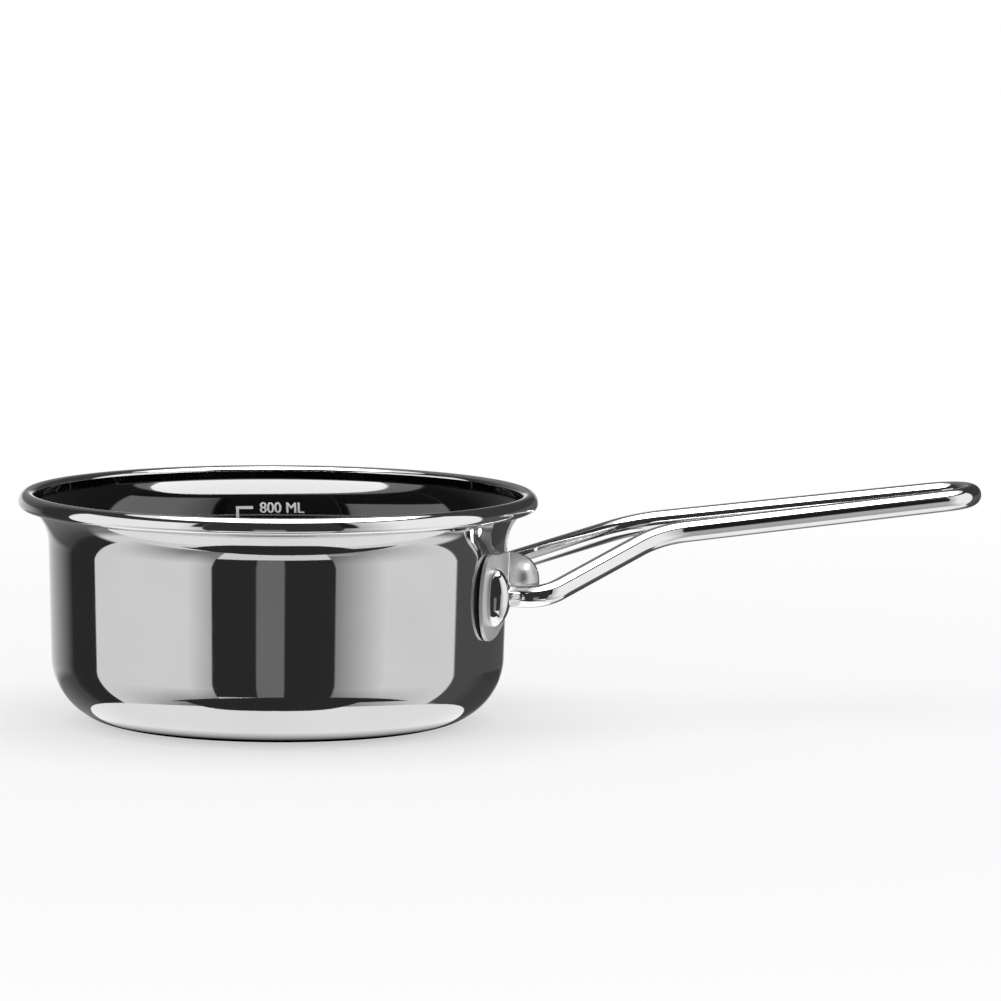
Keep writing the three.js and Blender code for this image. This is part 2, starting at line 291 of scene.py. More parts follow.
# Faces between the columns of a grid of vertices
def join_columns(builder, columns):
    for one, two in pairwise(columns):
        for j in range(len(one) - 1):
            builder.faces.new([one[j], two[j], two[j + 1], one[j + 1]])


# Faces between rings of vertices, with a flat end at the first and the last
def join_rings(builder, rings):
    for low, high in pairwise(rings):
        for k in range(len(low)):
            builder.faces.new([low[k - 1], low[k], high[k], high[k - 1]])
    builder.faces.new(rings[0])
    builder.faces.new(rings[-1])


# Vertices around the edge of a grid, in order
def border(columns):
    return [
        *[column[0] for column in columns[:-1]],
        *columns[-1][:-1],
        *[column[-1] for column in columns[:0:-1]],
        *columns[0][:0:-1],
    ]


# Two layers of a grid of points, with a rim between them
def double_sheet(builder, front, back):
    layers = [[[builder.verts.new(p * MM) for p in column] for column in layer] for layer in (front, back)]
    for layer in layers:
        join_columns(builder, layer)
    near, far = [border(layer) for layer in layers]
    for k in range(len(near)):
        builder.faces.new([near[k - 1], near[k], far[k], far[k - 1]])


# A profile of (radius, height) points turned about an axis; points on the axis become single vertices
def turned(name, profile, segments, place=Matrix()):
    builder = bmesh.new()
    rings = []
    for p in profile:
        if p.x < ON_AXIS:
            rings.append([builder.verts.new(place @ Vector((0, 0, p.y)) * MM)])
            continue
        ring = []
        for i in range(segments):
            turn = FULL_TURN * i / segments
            local = Vector((p.x * math.cos(turn), p.x * math.sin(turn), p.y))
            ring.append(builder.verts.new(place @ local * MM))
        rings.append(ring)
    for low, high in pairwise(rings):
        for i in range(segments):
            j = (i + 1) % segments
            loop = [low[i % len(low)], low[j % len(low)], high[j % len(high)], high[i % len(high)]]
            corners = list(dict.fromkeys(loop))
            if len(corners) > 2:
                builder.faces.new(corners)
    bmesh.ops.remove_doubles(builder, verts=builder.verts, dist=MERGE_DISTANCE)
    return smooth_object(name, builder)


# A tube along points; radius_at gives its radius from a share of its length
def tube(name, points, radius_at):
    builder = bmesh.new()
    tangents = []
    for i in range(len(points)):
        before, after = points[max(i - 1, 0)], points[min(i + 1, len(points) - 1)]
        tangents.append((after - before).normalized())
    normal = tangents[0].orthogonal().normalized()
    rings = []
    for i, (p, tangent) in enumerate(zip(points, tangents)):
        normal = (normal - tangent * normal.dot(tangent)).normalized()
        binormal = tangent.cross(normal)
        radius = radius_at(i / (len(points) - 1))
        ring = []
        for k in range(WIRE_SIDES):
            turn = FULL_TURN * k / WIRE_SIDES
            offset = normal * math.cos(turn) + binormal * math.sin(turn)
            ring.append(builder.verts.new((p + offset * radius) * MM))
        rings.append(ring)
    join_rings(builder, rings)
    return smooth_object(name, builder)


# Frame on the wall at a rivet: X along the wall, Y up it and Z out of it
def wall_frame(angle):
    outward = Vector((math.cos(angle), math.sin(angle), 0))
    along = Vector((-math.sin(angle), math.cos(angle), 0))
    up = Vector((0, 0, 1))
    leaning_up = up * math.cos(wall_lean) + outward * math.sin(wall_lean)
    leaning_out = outward * math.cos(wall_lean) - up * math.sin(wall_lean)
    origin = outward * wall_radius_at(rivet_height) + up * rivet_height
    turn = Matrix((along, leaning_up, leaning_out)).transposed().to_4x4()
    return Matrix.Translation(origin) @ turn


flange_front = BRACKET_GAP + SHEET
dome_seat = flange_front + DOME_GAP
washer_sag = WASHER_RADIUS ** 2 / (2 * (LOW_RADIUS - wall))
washer_seat = -wall - washer_sag - GAP
inner_head_seat = washer_seat - WASHER_THICKNESS - GAP


def rivet_profile():
    head_cap = INNER_HEAD_HEIGHT - INNER_HEAD_EDGE
    head_ball = (INNER_HEAD_RADIUS ** 2 + head_cap ** 2) / (2 * head_cap)
    head_centre = Vector((0, inner_head_seat - INNER_HEAD_HEIGHT + head_ball))
    head_turn = -math.acos(INNER_HEAD_RADIUS / head_ball)
    return [
        *arc(head_centre, head_ball, -QUARTER, head_turn, INNER_HEAD_STEPS),
        Vector((INNER_HEAD_RADIUS, inner_head_seat)),
        Vector((SHANK_RADIUS, inner_head_seat)),
        Vector((SHANK_RADIUS, dome_seat)),
        *quarter_ellipse(Vector((DOME_HALF_HEIGHT, dome_seat)), Vector((0, dome_seat + DOME_HEIGHT))),
    ]


# The dome is an oval boss, steeper on the side away from the ear
def rivet(name, place, side):
    piece = turned(name, rivet_profile(), RIVET_SEGMENTS, place)
    to_wall = place.inverted()
    for vertex in piece.data.vertices:
        local = to_wall @ (vertex.co / MM)
        above_seat = local.z - dome_seat
        within_shank = math.hypot(local.x, local.y) < SHANK_RADIUS + DOME_TOLERANCE
        if above_seat < -DOME_TOLERANCE or (within_shank and above_seat < DOME_TOLERANCE):
            continue
        width = DOME_FREE_WIDTH if side * local.x < 0 else DOME_EAR_WIDTH
        local.x = local.x * width / DOME_HALF_HEIGHT + side * DOME_PLACE
        vertex.co = place @ local * MM
    return piece


def washer_profile():
    far_face = washer_seat - WASHER_THICKNESS
    return [
        Vector((WASHER_HOLE, far_face)),
        Vector((WASHER_RADIUS, far_face)),
        Vector((WASHER_RADIUS, washer_seat)),
        Vector((WASHER_HOLE, washer_seat)),
        Vector((WASHER_HOLE, far_face)),
    ]


# Folded bracket: columns run along the flat flange from its free edge, up the fold and to the ear's end
def bracket_layer(place, side, depth):
    fold_radius = BEND_INNER_RADIUS + SHEET - depth
    fold = Vector((EAR_FACE - BEND_INNER_RADIUS, flange_front + BEND_INNER_RADIUS))
    ear_top = EAR_RISE + EAR_RADIUS
    ear_centre = flange_front + EAR_STRAIGHT
    columns = []
    for i in range(FLANGE_COLUMNS + 1):
        turn = EDGE_TURN + (math.pi - 2 * EDGE_TURN) * i / FLANGE_COLUMNS
        width = FLANGE_FREE_WIDTH if turn < QUARTER else FLANGE_EAR_WIDTH
        along = FLANGE_PLACE - width * math.cos(turn)
        if along > fold.x:
            break
        half = FLANGE_HALF_HEIGHT * math.sin(turn)
        columns.append((along, BRACKET_GAP + depth, -half, max(half, ear_top) if along > 0 else half))
    foot = columns[-1][2]
    for i in range(FOLD_COLUMNS + 1):
        share = i / FOLD_COLUMNS
        along = fold.x + fold_radius * math.sin(QUARTER * share)
        out = fold.y - fold_radius * math.cos(QUARTER * share)
        columns.append((along, out, foot + (EAR_FOOT - foot) * share, ear_top))
    for i in range(1, EAR_COLUMNS + 1):
        turn = (QUARTER - EDGE_TURN) * i / EAR_COLUMNS
        out = ear_centre + EAR_RADIUS * math.sin(turn)
        if out > fold.y:
            half = EAR_RADIUS * math.cos(turn) ** EAR_FULLNESS
            columns.append((fold.x + fold_radius, out, max(EAR_RISE - half, EAR_FOOT), EAR_RISE + half))
    shares = [j / BRACKET_ROWS for j in range(BRACKET_ROWS + 1)]
    return [
        [place @ Vector((side * along, low + (high - low) * share, out)) for share in shares]
        for along, out, low, high in columns
    ]


# The ear and its fold are marked as polished
def bracket(name, place, side):
    builder = bmesh.new()
    double_sheet(builder, bracket_layer(place, side, SHEET), bracket_layer(place, side, 0))
    piece = smooth_object(name, builder)
    to_wall = place.inverted()
    polish = piece.data.attributes.new(POLISH_SHARE, "FLOAT", "POINT")
    for vertex, mark in zip(piece.data.vertices, polish.data):
        short_of_ear = EAR_FACE - side * (to_wall @ (vertex.co / MM)).x
        mark.value = min(max(1 - short_of_ear / BEND_INNER_RADIUS, 0), 1)
    rounding = piece.modifiers.new("edge_round", "BEVEL")
    rounding.width = EDGE_ROUND * MM
    rounding.segments = EDGE_ROUND_SEGMENTS
    rounding.limit_method = "ANGLE"
    rounding.angle_limit = EDGE_ROUND_LIMIT
    return piece


# Centreline of the handle
def corner_arc(before, corner, after, radius):
    to_before, to_after = (before - corner).normalized(), (after - corner).normalized()
    half = to_before.angle(to_after) / 2
    setback = radius / math.tan(half)
    start, end = corner + to_before * setback, corner + to_after * setback
    centre = corner + (to_before + to_after).normalized() * (radius / math.sin(half))
    first, last = start - centre, end - centre
    sweep = first.angle(last)
    steps = max(WIRE_BEND_STEPS, round(radius * sweep / WIRE_STEP))
    points = []
    for i in range(steps + 1):
        t = i / steps
        blend = first * math.sin((1 - t) * sweep) + last * math.sin(t * sweep)
        points.append(centre + blend / math.sin(sweep))
    return points


def straight(start, end):
    steps = max(1, round((end - start).length / WIRE_STEP))
    return [start.lerp(end, i / steps) for i in range(steps + 1)]


def wire_points():
    height = rivet_height - WIRE_DROP
    wall_radius = wall_radius_at(rivet_height)

    def off_wall(distance):
        reach = wall_radius + distance
        x = reach * math.cos(WIRE_ANGLE) + WIRE_ACROSS * math.sin(WIRE_ANGLE)
        y = reach * math.sin(WIRE_ANGLE) - WIRE_ACROSS * math.cos(WIRE_ANGLE)
        return Vector((x, y, height))

    bend_x = HIGH_RADIUS + LEG_REACH
    half = [
        off_wall(WIRE_START),
        off_wall(WIRE_START + EXIT_LENGTH),
        Vector((bend_x, BEND_HALF_WIDTH, height + LEG_RISE)),
        Vector((bend_x + GRIP_LENGTH - GRIP_INSET, END_HALF_WIDTH, height + LEG_RISE + GRIP_RISE)),
    ]
    corners = half + [Vector((p.x, -p.y, p.z)) for p in reversed(half)]
    grip_turn = (half[2] - half[3]).angle(Vector((0, -1, 0)))
    end_radius = (END_HALF_WIDTH - END_FLAT / 2) * math.tan(grip_turn / 2)
    radii = [EXIT_BEND_RADIUS, GRIP_BEND_RADIUS, end_radius]
    points = [corners[0]]
    for i, radius in enumerate(radii + radii[::-1], 1):
        bend = corner_arc(corners[i - 1], corners[i], corners[i + 1], radius)
        points += straight(points[-1], bend[0])[1:] + bend[1:]
    return points + straight(points[-1], corners[-1])[1:]


def wire_radius_at(share):
    length = 2 * (EXIT_LENGTH + LEG_REACH + GRIP_LENGTH)
    from_end = min(share, 1 - share) * length
    if from_end >= WIRE_END_ROUND:
        return WIRE_RADIUS
    inset = WIRE_END_ROUND - math.sqrt(WIRE_END_ROUND ** 2 - (WIRE_END_ROUND - from_end) ** 2)
    return WIRE_RADIUS - inset


# Weld between the wire's end and the ear: a rippled bead above and one below
def weld(name, place, side):
    builder = bmesh.new()
    last_out = flange_front + EAR_STRAIGHT + EAR_RADIUS - WELD_SHORT_OF_EAR
    for level in (-WELD_LEVEL, WELD_LEVEL):
        rings = []
        for i in range(WELD_STEPS + 1):
            share = i / WELD_STEPS
            out = WELD_START + (last_out - WELD_START) * share
            swell = math.sqrt(max(0, 1 - (2 * share - 1) ** WELD_BLUNTNESS))
            ripple = WELD_RIPPLE * math.sin(share * WELD_RIPPLE_TURN)
            radius = (WELD_RADIUS + ripple) * max(swell, WELD_TIP_SHARE)
            ring = []
            for k in range(WELD_SIDES):
                turn = FULL_TURN * k / WELD_SIDES
                along = WELD_PLACE + radius * math.cos(turn)
                up = level - WIRE_DROP + radius * math.sin(turn)
                ring.append(builder.verts.new(place @ Vector((side * along, up, out)) * MM))
            rings.append(ring)
        join_rings(builder, rings)
    return smooth_object(name, builder)


# Graduation: flat outlines laid on the lining's inner face
def inner_radius_at(height):
    if height < CORNER_RADIUS:
        reach = CORNER_RADIUS - wall
        return corner_centre.x + math.sqrt(max(0, reach ** 2 - (CORNER_RADIUS - height) ** 2))
    if height > FLARE_FOOT:
        return flare_centre.x - math.sqrt((FLARE_RADIUS + wall) ** 2 - (height - FLARE_FOOT) ** 2)
    return wall_radius_at(height) - wall


def on_lining(sideways, height, lift):
    radius = inner_radius_at(height) - lift
    turn = MARK_ANGLE - sideways / radius
    return Vector((radius * math.cos(turn), radius * math.sin(turn), height))


def mark_strip(builder, left, right, low, high, steps):
    acrosses = [left + (right - left) * i / steps for i in range(steps + 1)]
    heights = [low + (high - low) * i / steps for i in range(steps + 1)]
    layers = [
        [[on_lining(across, height, lift) for across in acrosses] for height in heights]
        for lift in (-MARK_PROUD, MARK_PROUD)
    ]
    double_sheet(builder, *layers)


# Copies of the plain letters, set a little apart, make them bold
def mark_text(builder, words, height):
    curve = bpy.data.curves.new("graduation_text", "FONT")
    curve.body = words
    curve.size = MARK_TEXT_HEIGHT / MARK_CAPITAL_SHARE
    curve.extrude = MARK_PROUD
    curve.resolution_u = MARK_CURVE_STEPS
    letters = bpy.data.objects.new("graduation_text", curve)
    bpy.context.collection.objects.link(letters)
    flat = bmesh.new()
    flat.from_mesh(letters.evaluated_get(bpy.context.evaluated_depsgraph_get()).to_mesh())
    bmesh.ops.triangulate(flat, faces=flat.faces)
    for _ in range(MARK_SPLITS):
        long_edges = [edge for edge in flat.edges if edge.calc_length() > MARK_EDGE]
        bmesh.ops.subdivide_edges(flat, edges=long_edges, cuts=1)
        bmesh.ops.triangulate(flat, faces=flat.faces)
    foot = height - MARK_TEXT_HEIGHT / 2
    for copy in range(MARK_COPIES):
        laid = flat.copy()
        start = MARK_TEXT_START + copy * MARK_BOLD
        lift = 1 + copy * MARK_BOLD_LIFT
        for vertex in laid.verts:
            x, y, z = vertex.co
            vertex.co = on_lining(start + x, foot + y, z * lift) * MM
        mesh = bpy.data.meshes.new("graduation_text")
        laid.to_mesh(mesh)
        laid.free()
        builder.from_mesh(mesh)
        bpy.data.meshes.remove(mesh)
    flat.free()
    bpy.data.objects.remove(letters)
    bpy.data.curves.remove(curve)


def graduation(name):
    builder = bmesh.new()
    half = MARK_LINE / 2
    top, bottom = MARKS[0][1] + half, MARKS[-1][1] - half
    mark_strip(builder, -half, half, bottom, top, MARK_LINE_STEPS)
    for volume, height in MARKS:
        mark_strip(builder, half, MARK_TICK, height - half, height + half, MARK_TICK_STEPS)
        mark_text(builder, f"{volume} ML", height)
    return smooth_object(name, builder)


# Materials

# Most of a noise lies between these two levels, which are spread over the whole of what it drives
NOISE_LOW = 0.3
NOISE_HIGH = 0.7

# Noises that all steels share, each with its scale and detail, and what they do
STEEL_COLOUR_NOISE = (35, 3)
STEEL_ROUGH_NOISE = (140, 4)
STEEL_POLISH_NOISE = (900, 2)
STEEL_MOTTLE = 0.03
STEEL_WARMTH = 0.004
STEEL_POLISH_DEPTH = 0.00005

# Each steel: tone, least and most roughness, stretch of its polish and the polish's strength
STEELS = {
    "body_steel": (0.58, (0.03, 0.05), (1, 1, 8), 0.02),
    "rim_steel": (0.8, (0.03, 0.055), (1, 1, 6), 0.02),
    "handle_steel": (0.82, (0.03, 0.055), (0.3, 1, 1), 0.03),
    "bracket_steel": (0.97, (0.48, 0.58), (1, 1, 1), 0.03),
    "rivet_steel": (0.78, (0.04, 0.07), (1, 1, 1), 0.03),
    "washer_steel": (0.6, (0.22, 0.32), (1, 1, 1), 0.2),
    "weld_steel": (0.6, (0.14, 0.26), (1, 1, 1), 0.3),
}
EAR_ROUGHNESS_SHARE = 0.35
ENAMEL_IOR = 2


def grey(value, warmth=0):
    return (value * (1 + warmth), value, value * (1 - warmth), 1)


def noise(tree, scale, detail, stretch=(1, 1, 1)):
    place = tree.nodes.new("ShaderNodeTexCoord")
    mapping = tree.nodes.new("ShaderNodeMapping")
    mapping.inputs["Scale"].default_value = stretch
    texture = tree.nodes.new("ShaderNodeTexNoise")
    texture.inputs["Scale"].default_value = scale
    texture.inputs["Detail"].default_value = detail
    tree.links.new(place.outputs["Object"], mapping.inputs["Vector"])
    tree.links.new(mapping.outputs["Vector"], texture.inputs["Vector"])
    return texture.outputs["Fac"]


def ramp(tree, factor, low, high):
    colours = tree.nodes.new("ShaderNodeValToRGB")
    colours.color_ramp.elements[0].position = NOISE_LOW
    colours.color_ramp.elements[1].position = NOISE_HIGH
    colours.color_ramp.elements[0].color = low
    colours.color_ramp.elements[1].color = high
    tree.links.new(factor, colours.inputs["Fac"])
    return colours.outputs["Color"]


def spread(tree, factor, low, high):
    span = tree.nodes.new("ShaderNodeMapRange")
    span.inputs["From Min"].default_value = NOISE_LOW
    span.inputs["From Max"].default_value = NOISE_HIGH
    span.inputs["To Min"].default_value = low
    span.inputs["To Max"].default_value = high
    tree.links.new(factor, span.inputs["Value"])
    return span.outputs["Result"]


def bump(tree, height, strength, distance):
    node = tree.nodes.new("ShaderNodeBump")
    node.inputs["Strength"].default_value = strength
    node.inputs["Distance"].default_value = distance
    tree.links.new(height, node.inputs["Height"])
    return node.outputs["Normal"]


# Result of an operation on two numbers
def combined(tree, operation, first, second):
    node = tree.nodes.new("ShaderNodeMath")
    node.operation = operation
    tree.links.new(first, node.inputs[0])
    tree.links.new(second, node.inputs[1])
    return node.outputs["Value"]


def principled(material):
    return material.node_tree.nodes["Principled BSDF"].inputs


# A noise, given by its scale and detail, for the colour, one for the roughness and one for the relief
def finish(
    name, colour_noise, tones, rough_noise, roughness, relief_noise, strength, depth, stretch=(1, 1, 1)
):
    material = bpy.data.materials.new(name)
    material.use_nodes = True
    tree = material.node_tree
    inputs = principled(material)
    tree.links.new(ramp(tree, noise(tree, *colour_noise), *tones), inputs["Base Color"])
    tree.links.new(spread(tree, noise(tree, *rough_noise), *roughness), inputs["Roughness"])
    tree.links.new(bump(tree, noise(tree, *relief_noise, stretch), strength, depth), inputs["Normal"])
    return material


def steel(name, tone, roughness, polish_stretch, polish_strength):
    material = finish(
        name,
        colour_noise=STEEL_COLOUR_NOISE,
        tones=(grey(tone * (1 - STEEL_MOTTLE)), grey(tone * (1 + STEEL_MOTTLE), STEEL_WARMTH)),
        rough_noise=STEEL_ROUGH_NOISE,
        roughness=roughness,
        relief_noise=STEEL_POLISH_NOISE,
        strength=polish_strength,
        depth=STEEL_POLISH_DEPTH,
        stretch=polish_stretch,
    )
    principled(material)["Metallic"].default_value = 1
    return material


# Lowers the roughness where a mesh is marked as polished
def polish_marked(material, rough_left):
    tree = material.node_tree
    rough = principled(material)["Roughness"]
    marked = tree.nodes.new("ShaderNodeAttribute")
    marked.attribute_name = POLISH_SHARE
    left = tree.nodes.new("ShaderNodeMapRange")
    left.inputs["To Min"].default_value = 1
    left.inputs["To Max"].default_value = rough_left
    tree.links.new(marked.outputs["Fac"], left.inputs["Value"])
    tree.links.new(combined(tree, "MULTIPLY", rough.links[0].from_socket, left.outputs["Result"]), rough)


finishes = {name: steel(name, *look) for name, look in STEELS.items()}
polish_marked(finishes["bracket_steel"], EAR_ROUGHNESS_SHARE)
finishes["enamel"] = finish(
    "enamel",
    colour_noise=(700, 3),
    tones=(grey(0.0016), grey(0.004)),
    rough_noise=(60, 3),
    roughness=(0.035, 0.075),
    relief_noise=(260, 2),
    strength=0.03,
    depth=0.0001,
)
principled(finishes["enamel"])["IOR"].default_value = ENAMEL_IOR
finishes["graduation_paint"] = finish(
    "graduation_paint",
    colour_noise=(900, 4),
    tones=(grey(0.9), grey(0.96)),
    rough_noise=(120, 2),
    roughness=(0.25, 0.4),
    relief_noise=(900, 4),
    strength=0.1,
    depth=0.00005,
)


# Pieces

def dress(piece, look, slot, *nodes):
    piece.data.materials.append(finishes[look])
    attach(piece, "root")
    if nodes:
        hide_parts(*nodes)


dress(turned("body_shell", body_profile(), ROUND_SEGMENTS), "body_steel", "body_steel", "pan_body")
dress(turned("enamel_coat", lining_profile(), ROUND_SEGMENTS), "enamel", "enamel", "enamel_lining")
dress(turned("rim_ring", band_profile(), ROUND_SEGMENTS), "rim_steel", "rim_steel", "rim_band")
dress(tube("handle_loop", wire_points(), wire_radius_at), "handle_steel", "handle_steel", "handle_wire")
dress(graduation("graduation"), "graduation_paint", "enamel")
for hand, turn, ear in (("right", -BRACKET_ANGLE, 1), ("left", BRACKET_ANGLE, -1)):
    place = wall_frame(turn)
    plate = bracket(f"{hand}_folded_plate", place, ear)
    dress(plate, "bracket_steel", "bracket_steel", f"{hand}_bracket")
    domed = rivet(f"{hand}_domed_rivet", place, ear)
    dress(domed, "rivet_steel", "rivet_steel", f"{hand}_rivet")
    washer = turned(f"{hand}_backing_ring", washer_profile(), RIVET_SEGMENTS, place)
    dress(washer, "washer_steel", "washer_steel", f"{hand}_rivet_washer")
    bead = weld(f"{hand}_weld", wall_frame(math.copysign(WIRE_ANGLE, turn)), ear)
    dress(bead, "weld_steel", "bracket_steel")


# Camera

def direction(azimuth, elevation):
    flat = math.cos(elevation)
    return Vector((math.sin(azimuth) * flat, -math.cos(azimuth) * flat, math.sin(elevation)))


rim_centre = Vector((0, 0, HEIGHT * MM))
back = direction(CAMERA_AZIMUTH, CAMERA_ELEVATION)
right = Vector((math.cos(CAMERA_AZIMUTH), math.sin(CAMERA_AZIMUTH), 0))
above = back.cross(right)
aim = rim_centre + right * AIM_RIGHT - above * AIM_DOWN
camera = bpy.data.objects.new("camera", bpy.data.cameras.new("camera"))
bpy.context.collection.objects.link(camera)
camera.data.lens = CAMERA_LENS
camera.data.sensor_width = CAMERA_SENSOR
camera.data.clip_start = CAMERA_CLIP_START
camera.data.clip_end = CAMERA_CLIP_END
camera.location = rim_centre + back * CAMERA_DISTANCE
look = (aim - camera.location).to_track_quat("-Z", "Y")
camera.rotation_euler = (look.to_matrix() @ Matrix.Rotation(CAMERA_ROLL, 3, "Z")).to_euler()
scene = bpy.context.scene
scene.camera = camera
scene.view_settings.view_transform = "Standard"


# Studio: a white room with dark cards that only reflections see

CARD_DISTANCE = 6
CARD_SPACING = 0.02
CARD_STEP = 3
BLACK = 0
DARK = 0.035
DUSK = 0.06
DIM = 0.105
STRIP_GREY = 0.22
AMBIENT_STRENGTH = 0.6
SEEN_STRENGTH = 1

# Each card: left, right, foot and top in degrees, softness of those edges, share that it hides and its tone
CARDS = {
    "front_card": (-33.5, 29, -32, 54, (0.6, 0.6, 0.6, 1), 1, DARK),
    "front_above_right": (28, 36, -2, 54, (0.5, 1.5, 6, 1), 1, DARK),
    "front_above_left": (-39, -33, 2, 54, (1.5, 0.5, 6, 1), 1, DARK),
    "left_falloff": (-46, -32.5, -40, 31, (12, 0.3, 1, 1), 0.35, BLACK),
    "right_falloff": (28, 56, -40, 43, (0.3, 26, 1, 1), 0.62, BLACK),
    "left_side": (-180, -104, -41, 54, (54, 0.6, 3, 1), 1, DARK),
    "right_side": (100, 182, -41, 54, (1.5, 18, 3, 1), 1, DIM),
    "left_above": (-104, -33, 31, 54, (0.5, 0.5, 1, 1), 1, DARK),
    "right_above": (34, 104, 43, 54, (0.5, 0.5, 1, 1), 1, DARK),
    "behind": (102, 257, 2, 54, (1, 1, 4, 1), 0.81, DARK),
    "low_behind": (118, 240, -62, -11, (14, 14, 6, 4), 0.75, DUSK),
    "left_foot": (-104, -32, -49.5, -18, (50, 0.5, 1, 26), 0.75, DARK),
    "right_foot": (28, 100, -49.5, -18, (0.5, 50, 1, 26), 0.6, DARK),
    "grey_strip": (-11, 3.5, -32, -4, (0.5, 0.5, 1, 1), 1, STRIP_GREY),
}


# Share that is 1 for what is seen, straight or in metal and glass, and 0 for light that falls on things
def seen_share(tree):
    path = tree.nodes.new("ShaderNodeLightPath")
    seen = path.outputs["Is Camera Ray"]
    for kind in ("Is Glossy Ray", "Is Transmission Ray"):
        seen = combined(tree, "MAXIMUM", seen, path.outputs[kind])
    return seen


# Shows one shader where a share is 0 and another where it is 1
def show_mix(tree, share, first, second, output_kind="ShaderNodeOutputMaterial"):
    mix = tree.nodes.new("ShaderNodeMixShader")
    output = tree.nodes.new(output_kind)
    tree.links.new(share, mix.inputs["Fac"])
    tree.links.new(first, mix.inputs[1])
    tree.links.new(second, mix.inputs[2])
    tree.links.new(mix.outputs["Shader"], output.inputs["Surface"])


def bare_material(name):
    material = bpy.data.materials.new(name)
    material.use_nodes = True
    material.node_tree.nodes.clear()
    return material, material.node_tree


# Glow of one tone, clear where the mesh's shade is 0
def card_material(name, tone):
    material, tree = bare_material(name)
    shade = tree.nodes.new("ShaderNodeAttribute")
    shade.attribute_name = SHADE_SHARE
    clear = tree.nodes.new("ShaderNodeBsdfTransparent")
    glow = tree.nodes.new("ShaderNodeEmission")
    glow.inputs["Color"].default_value = grey(tone)
    show_mix(tree, shade.outputs["Fac"], clear.outputs["BSDF"], glow.outputs["Emission"])
    return material


def plain_glow(name, tone):
    material, tree = bare_material(name)
    glow = tree.nodes.new("ShaderNodeEmission")
    glow.inputs["Strength"].default_value = tone
    output = tree.nodes.new("ShaderNodeOutputMaterial")
    tree.links.new(glow.outputs["Emission"], output.inputs["Surface"])
    return material


def stage_object(name, builder, material):
    piece = add_object(name, builder)
    piece.data.materials.append(material)
    return piece


# Leaves a stage piece to reflections alone
def only_mirrored(piece):
    piece.visible_camera = False
    piece.visible_diffuse = False
    piece.visible_shadow = False
    piece.visible_transmission = False


# Sheet of columns of points, each point with its shade
def shaded_sheet(columns):
    builder = bmesh.new()
    layer = builder.verts.layers.float.new(SHADE_SHARE)
    grid = []
    for column in columns:
        vertices = []
        for point, shade in column:
            vertex = builder.verts.new(point)
            vertex[layer] = shade
            vertices.append(vertex)
        grid.append(vertices)
    join_columns(builder, grid)
    return builder


# Stops along one side of a card, each with how far it has come in from the soft edges
def card_stops(first, last, soft_first, soft_last):
    turns = [(first, 0), (first + soft_first, 1), (last - soft_last, 1), (last, 0)]
    stops = []
    for (start, begin), (end, finish) in pairwise(turns):
        steps = max(1, math.ceil((end - start) / CARD_STEP))
        for i in range(steps):
            stops.append((start + (end - start) * i / steps, begin + (finish - begin) * i / steps))
    return stops + turns[-1:]


def card(name, distance, left, right, foot, top, softness, hides, tone):
    soft_left, soft_right, soft_foot, soft_top = softness
    columns = []
    for azimuth, across in card_stops(left, right, soft_left, soft_right):
        column = []
        for elevation, upward in card_stops(foot, top, soft_foot, soft_top):
            way = direction(CAMERA_AZIMUTH + math.radians(azimuth), math.radians(elevation))
            column.append((rim_centre + way * distance, hides * across * upward))
        columns.append(column)
    only_mirrored(stage_object(name, shaded_sheet(columns), card_material(name, tone)))


for i, (name, settings) in enumerate(CARDS.items()):
    card(name, CARD_DISTANCE - CARD_SPACING * i, *settings)

world = bpy.data.worlds.new("white_studio")
scene.world = world
world.use_nodes = True
world_tree = world.node_tree
world_tree.nodes.clear()
backgrounds = []
for strength in (AMBIENT_STRENGTH, SEEN_STRENGTH):
    background = world_tree.nodes.new("ShaderNodeBackground")
    background.inputs["Color"].default_value = grey(1)
    background.inputs["Strength"].default_value = strength
    backgrounds.append(background.outputs["Background"])
show_mix(world_tree, seen_share(world_tree), *backgrounds, "ShaderNodeOutputWorld")


# Soft lamp overhead, and the oval diffuser just below it that the steel and the enamel mirror
LAMP_HEIGHT = 1.3
LAMP_SPREAD = math.radians(34)
LAMP_RADIANCE = 1.4
LAMP_CLEARANCE = 0.01
DIFFUSER_HALF_WIDTH = 0.86
DIFFUSER_HALF_DEPTH = 0.73
DIFFUSER_SIDE = 0.11
DIFFUSER_FORWARD = 0.13
DIFFUSER_TONE = 7

lamp_radius = LAMP_HEIGHT * math.tan(LAMP_SPREAD)
lamp_data = bpy.data.lights.new("overhead_lamp", "AREA")
lamp_data.shape = "DISK"
lamp_data.size = 2 * lamp_radius
lamp_data.energy = LAMP_RADIANCE * math.pi * math.pi * lamp_radius ** 2
lamp = bpy.data.objects.new("overhead_lamp", lamp_data)
bpy.context.collection.objects.link(lamp)
lamp.location = rim_centre + Vector((0, 0, LAMP_HEIGHT + LAMP_CLEARANCE))
lamp.visible_camera = False
lamp.visible_glossy = False


# A flat round shape; stops_at gives the radii across it and their shade from a share of its turn
def flat_sheet(stops_at, first=0, last=360):
    columns = []
    for i in range(FLAT_STEPS + 1):
        share = i / FLAT_STEPS
        way = direction(CAMERA_AZIMUTH + math.radians(first + (last - first) * share), 0)
        columns.append([(way * radius, shade) for radius, shade in stops_at(share)])
    return shaded_sheet(columns)


def disc(radius):
    return flat_sheet(lambda share: ((0, 1), (radius, 1)))


def diffuser_stops(share):
    turn = FULL_TURN * share
    reach = 1 / math.hypot(math.cos(turn) / DIFFUSER_HALF_DEPTH, math.sin(turn) / DIFFUSER_HALF_WIDTH)
    return (0, 1), (reach, 1)


